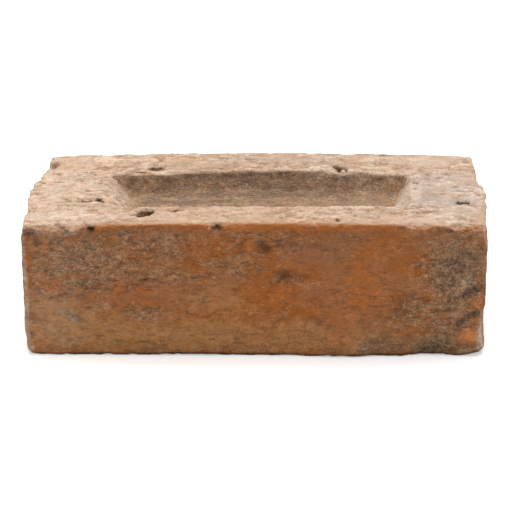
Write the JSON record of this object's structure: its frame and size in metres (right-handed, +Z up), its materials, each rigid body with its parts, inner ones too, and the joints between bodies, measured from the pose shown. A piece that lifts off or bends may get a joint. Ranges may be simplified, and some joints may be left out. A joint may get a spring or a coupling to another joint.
{
  "type": "frogged clay brick",
  "caption": "Solid fired-clay building brick with worn arrises and a shallow tapered frog in its top bed face, laid in mortar to build walls.",
  "frame": {"origin": "centre of the bottom bed face, which the brick rests on", "axes": "+X along the brick's length, +Y across its width towards the back stretcher face, +Z up through the frogged bed face"},
  "size_m": [0.215, 0.1024, 0.065],
  "materials": {
    "fired_clay": "rough fired clay, sanded, matt"
  },
  "bodies": {
    "root": {"brick": "fired_clay"}
  },
  "joints": []
}
